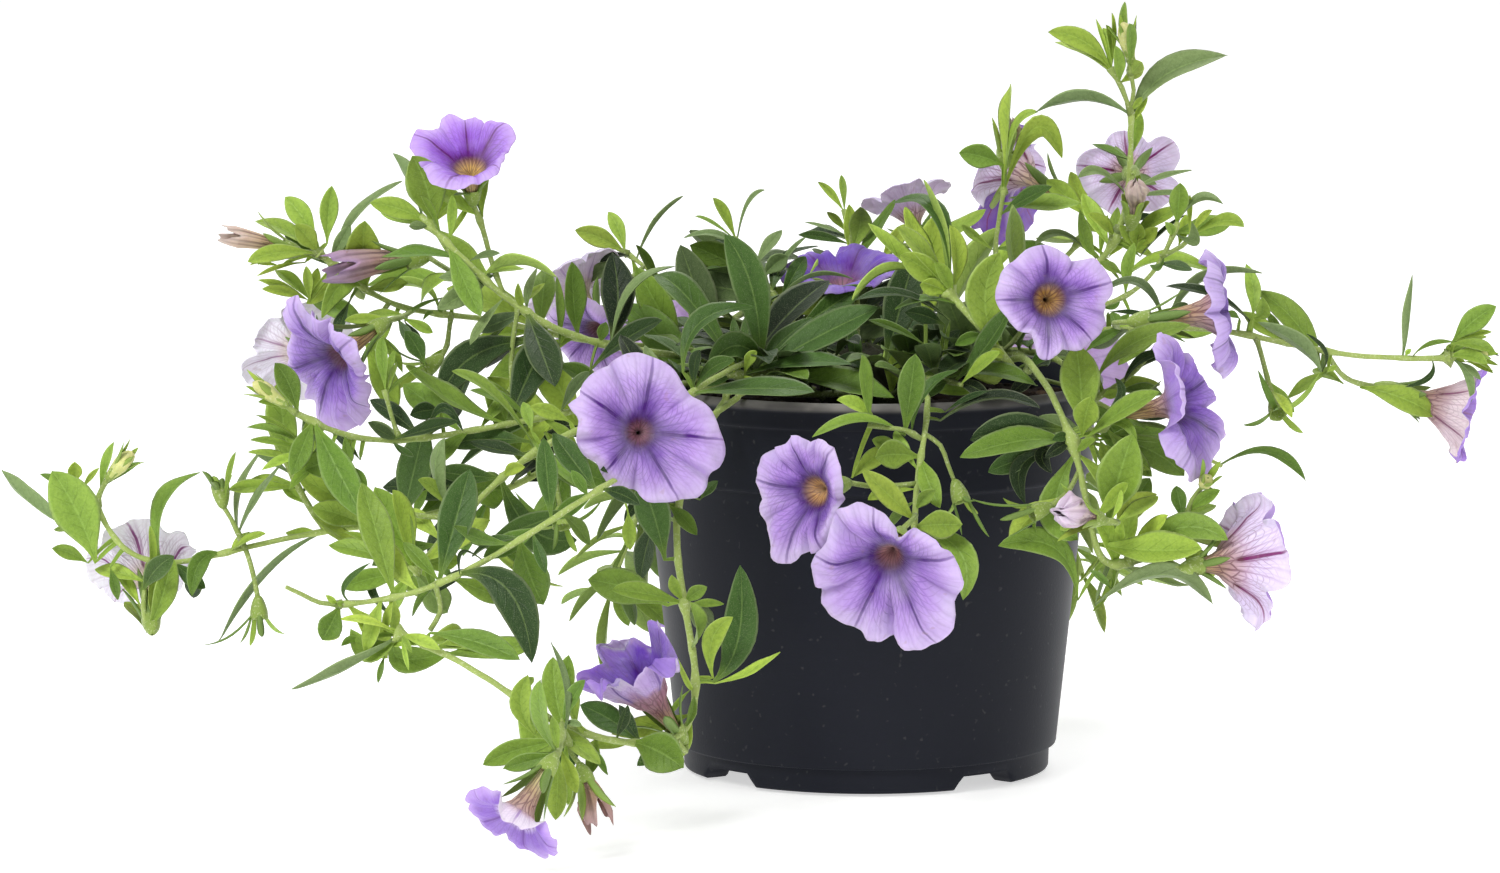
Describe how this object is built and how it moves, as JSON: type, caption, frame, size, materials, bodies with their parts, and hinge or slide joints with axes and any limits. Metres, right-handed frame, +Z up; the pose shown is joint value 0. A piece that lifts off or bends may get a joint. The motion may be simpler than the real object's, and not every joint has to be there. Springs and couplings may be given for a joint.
{
  "type": "flowering plant in nursery pot",
  "caption": "Trailing calibrachoa with long arching leafy shoots and lilac five-lobed trumpet flowers, growing in a round tapered nursery pot with a rolled rim and a notched foot ring.",
  "frame": {"origin": "middle of the underside of the pot, on the surface it stands on", "axes": "+X to the right along the longer spread of shoots, +Y away from the front, +Z up along the pot's axis"},
  "size_m": [0.3298, 0.2533, 0.1703],
  "materials": {
    "pot_plastic": "satin, charcoal black",
    "soil": "damp peat mix, rough",
    "crown_stem": "green-brown bark, rough",
    "foliage": "soft, finely hairy",
    "petal_lilac": "velvety, lilac with purple veins",
    "petal_pale": "velvety, near white with lilac veins",
    "petal_faded": "dry, papery"
  },
  "bodies": {
    "root": {"nursery_pot": "pot_plastic", "potting_soil": "soil", "crown": "crown_stem", "shoot_left_high": "foliage", "shoot_left_back": "foliage", "shoot_left_mid": "foliage", "shoot_left_front": "foliage", "shoot_far_left": "foliage", "shoot_low_left": "foliage", "shoot_front_left": "foliage", "shoot_over_rim_left": "foliage", "shoot_top_left": "foliage", "shoot_top_mid": "foliage", "shoot_top_back": "foliage", "shoot_crown_left": "foliage", "shoot_front_centre": "foliage", "shoot_crown_middle": "foliage", "shoot_right_cluster": "foliage", "shoot_right_front": "foliage", "shoot_right_mid": "foliage", "shoot_right_far": "foliage", "shoot_right_tail": "foliage", "shoot_right_high": "foliage", "shoot_right_back": "foliage", "shoot_right_inner": "foliage", "shoot_back_left": "foliage", "shoot_back_mid": "foliage", "shoot_back_right": "foliage", "flower_on_the_table": "petal_pale", "flower_withered_low_left": "petal_faded", "flower_crumpled_low_left": "petal_lilac", "flower_front_right": "petal_lilac", "flower_front_middle": "petal_lilac", "flower_furled_right": "petal_faded", "flower_low_right_pale": "petal_pale", "flower_front_left": "petal_lilac", "flower_far_left_white": "petal_pale", "flower_right_over_rim": "petal_lilac", "flower_right_middle": "petal_lilac", "flower_right_edge_on": "petal_lilac", "flower_left_high": "petal_lilac", "flower_facing_up_left": "petal_lilac", "flower_left_pale": "petal_pale", "flower_withered_far_left": "petal_faded", "flower_left_behind_leaf": "petal_faded", "flower_far_right": "petal_lilac", "flower_withered_top_right": "petal_faded", "flower_over_rim_pale": "petal_pale", "flower_over_rim_behind": "petal_lilac", "flower_top_right_seen_from_behind": "petal_pale", "flower_top_middle": "petal_lilac", "flower_withered_top_middle": "petal_faded", "flower_top_faded": "petal_faded", "flower_top_right": "petal_pale", "flower_back_left": "petal_lilac", "flower_back_right": "petal_lilac", "flower_back_middle": "petal_lilac"}
  },
  "joints": []
}
